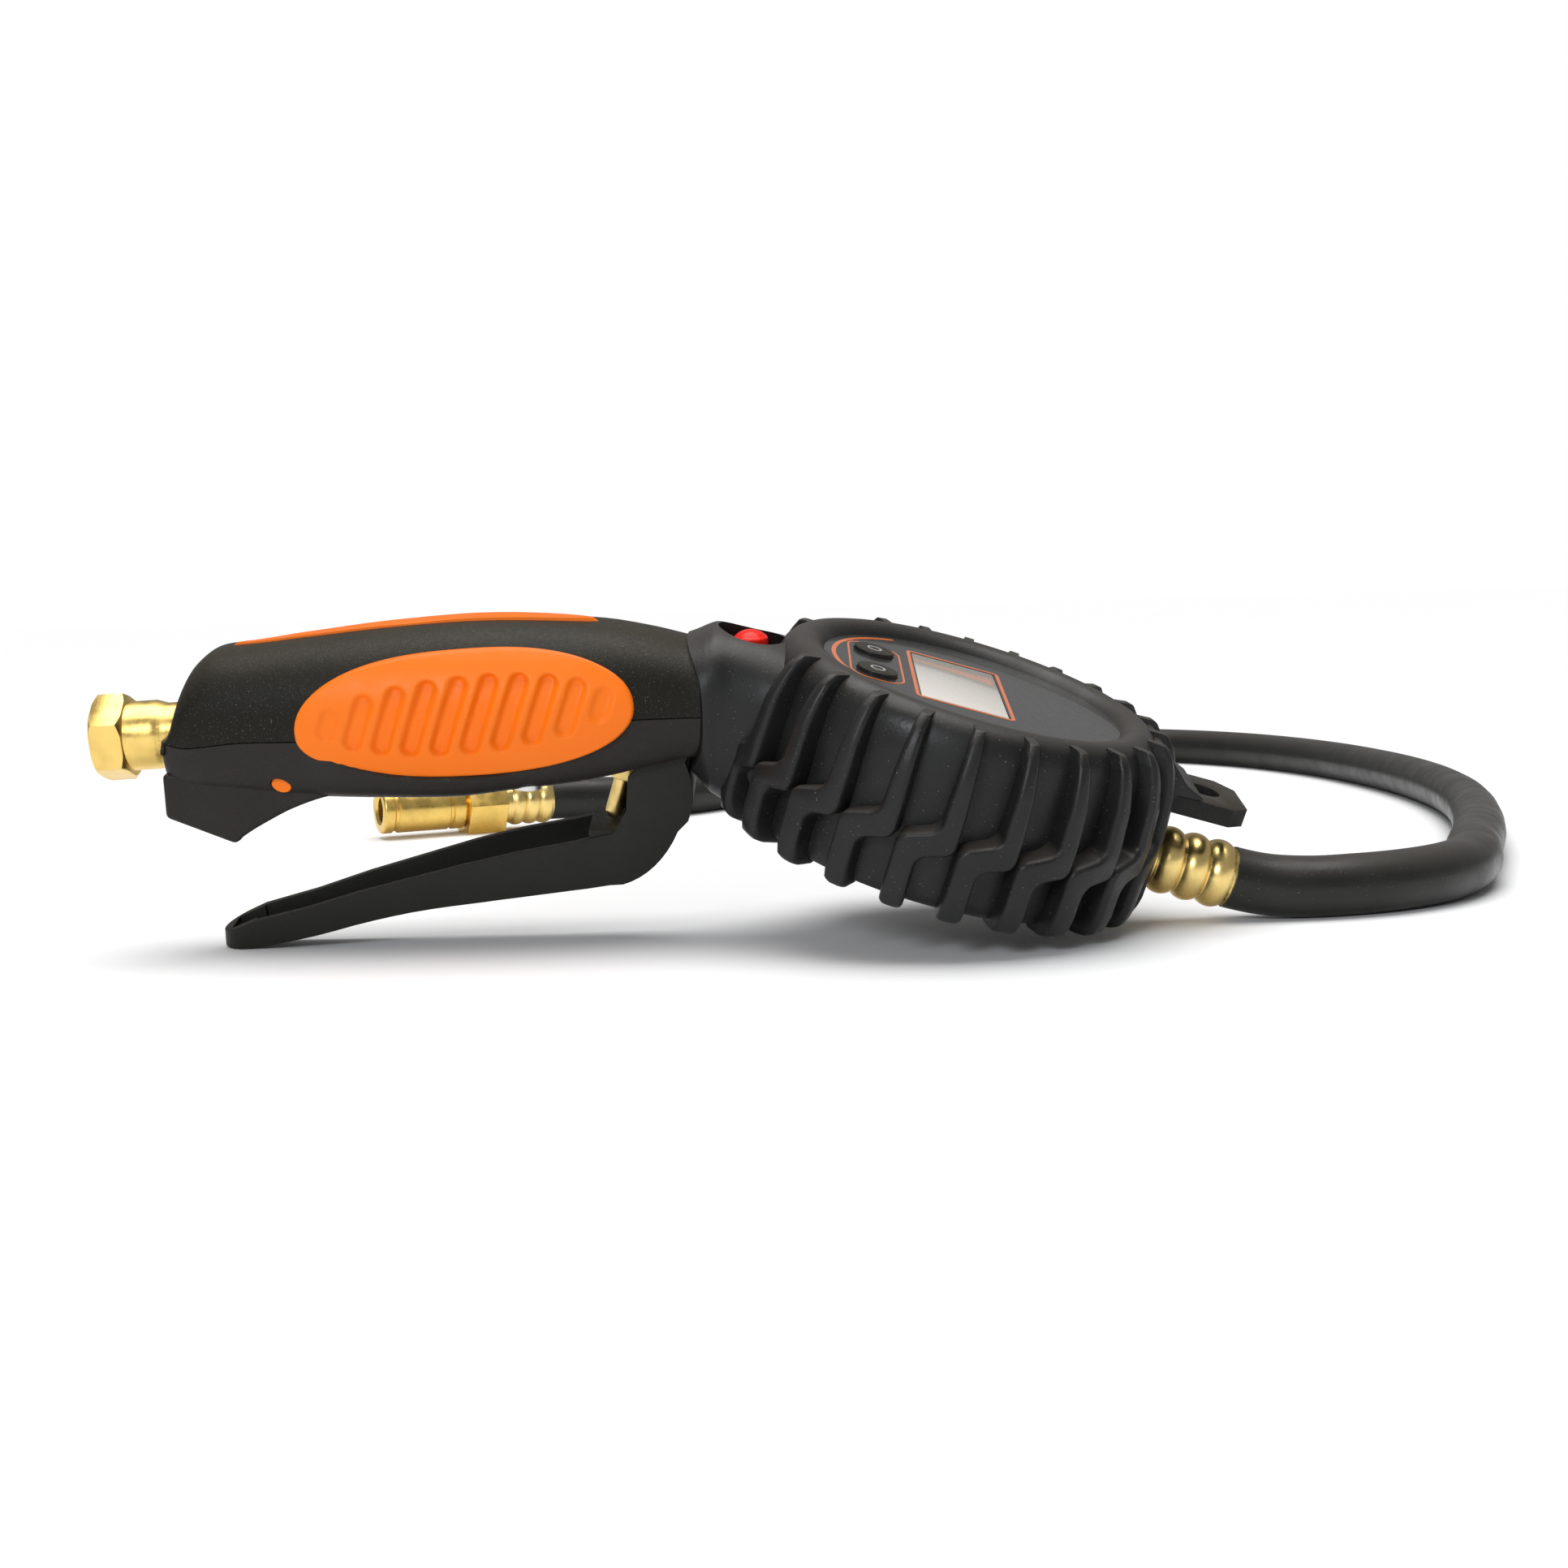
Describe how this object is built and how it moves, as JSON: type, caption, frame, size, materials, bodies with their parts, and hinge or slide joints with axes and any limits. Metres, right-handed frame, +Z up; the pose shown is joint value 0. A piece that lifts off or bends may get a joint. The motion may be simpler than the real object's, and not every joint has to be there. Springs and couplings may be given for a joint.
{
  "type": "tyre inflator gun",
  "caption": "Hand-held tyre inflator: squeeze-lever handle, round digital gauge in a ribbed rubber boot, air inlet, and an air hose with a straight tyre chuck.",
  "frame": {"origin": "on the ground under the middle of the gun, hose and chuck left out", "axes": "+X along the gun from the air inlet to the hose outlet, +Y away from the side that the gun leans to, +Z up; the gun is stored as it lies, leaning 12 degrees about X and nose down 1.6 degrees"},
  "size_m": [0.3737, 0.5217, 0.0737],
  "materials": {
    "black_shell": "moulded black nylon, lightly textured",
    "black_shell_lower": "moulded black nylon, smoother than the upper shell",
    "orange_grip": "soft orange overmould",
    "orange_plug": "orange plastic plug",
    "steel_screw": "zinc plated",
    "brass": "turned brass, polished",
    "sintered_bronze": "sintered bronze",
    "cast_alloy": "die-cast aluminium",
    "seal_rubber": "nitrile rubber",
    "spring_steel": "spring wire",
    "black_lever": "glass-filled black nylon, satin",
    "steel_pin": "ground steel pin",
    "red_button": "bright red plastic",
    "boot_rubber": "moulded black rubber, satin",
    "case_plastic": "black ABS",
    "battery_shell": "plain battery jacket",
    "contact_metal": "nickel plated contacts",
    "sensor_metal": "metal can",
    "board_green": "glass-fibre board with solder mask",
    "switch_metal": "tact switches",
    "display_grey": "reflective liquid crystal panel",
    "face_graphite": "printed dark grey face",
    "window_clear": "clear display window",
    "key_plastic": "dark grey key caps",
    "brass_ferrule": "pale crimped brass",
    "hose_rubber": "black air hose"
  },
  "bodies": {
    "gun": {"handle_upper_shell": "black_shell", "handle_lower_shell": "black_shell_lower", "grip_pad_near": "orange_grip", "grip_pad_far": "orange_grip", "top_strip": "orange_grip", "side_plugs": "orange_plug", "shell_screws": "steel_screw", "inlet_fitting": "brass", "inlet_filter": "sintered_bronze", "air_tube": "cast_alloy", "valve_body": "cast_alloy", "valve_cap": "brass", "gland_nut": "brass", "stem_seal": "seal_rubber", "valve_spring": "spring_steel", "lever_pin": "steel_pin", "bleed_spring": "spring_steel", "bleed_seal": "seal_rubber", "rubber_boot": "boot_rubber", "gauge_case": "case_plastic", "back_cover": "case_plastic", "cover_screws": "steel_screw", "batteries": "battery_shell", "battery_contacts": "contact_metal", "manifold": "cast_alloy", "pressure_sensor": "sensor_metal", "circuit_board": "board_green", "key_switches": "switch_metal", "display_module": "display_grey", "face_plate": "face_graphite", "display_window": "window_clear", "hose_nipple": "brass", "hose_ferrule": "brass_ferrule", "hose": "hose_rubber", "chuck_ferrule": "brass_ferrule", "chuck_nut": "brass", "chuck_barrel": "brass", "chuck_seal": "seal_rubber", "chuck_spring": "spring_steel"},
    "lever": {"lever": "black_lever"},
    "valve_stem": {"valve_stem": "brass"},
    "bleed_button": {"bleed_button": "red_button"},
    "power_key": {"power_key": "key_plastic"},
    "unit_key": {"unit_key": "key_plastic"},
    "chuck_pin": {"chuck_pin": "brass"}
  },
  "joints": [
    {"name": "lever_squeeze", "type": "hinge", "parent": "gun", "child": "lever", "pos_m": [-0.00143, -0.00255, 0.04474], "axis": [0.0058, 0.9781, 0.2078], "range_deg": [0, 9], "stiffness_Nm_per_rad": 6, "springref_deg": -14.32},
    {"name": "stem_slide", "type": "slide", "parent": "gun", "child": "valve_stem", "axis": [0.3018, -0.1999, 0.9322], "range_m": [0, 0.0019], "stiffness_N_per_m": 15, "springref_m": -0.0005, "deforming": ["valve_spring"]},
    {"name": "bleed_press", "type": "slide", "parent": "gun", "child": "bleed_button", "axis": [-0.0273, 0.2079, -0.9778], "range_m": [0, 0.002], "stiffness_N_per_m": 1200, "springref_m": -0.002, "deforming": ["bleed_spring"]},
    {"name": "power_key_press", "type": "slide", "parent": "gun", "child": "power_key", "axis": [-0.2935, 0.2003, -0.9347], "range_m": [0, 0.0005], "stiffness_N_per_m": 2500, "springref_m": -0.0003},
    {"name": "unit_key_press", "type": "slide", "parent": "gun", "child": "unit_key", "axis": [-0.2935, 0.2003, -0.9347], "range_m": [0, 0.0005], "stiffness_N_per_m": 2500, "springref_m": -0.0003},
    {"name": "chuck_pin_press", "type": "slide", "parent": "gun", "child": "chuck_pin", "axis": [0.8988, 0.4384, 0], "range_m": [0, 0.0012], "stiffness_N_per_m": 1500, "springref_m": -0.002, "deforming": ["chuck_spring"]}
  ],
  "couplings": [
    {"joint": "stem_slide", "follows": "lever_squeeze", "m_per_rad": 0.012}
  ]
}
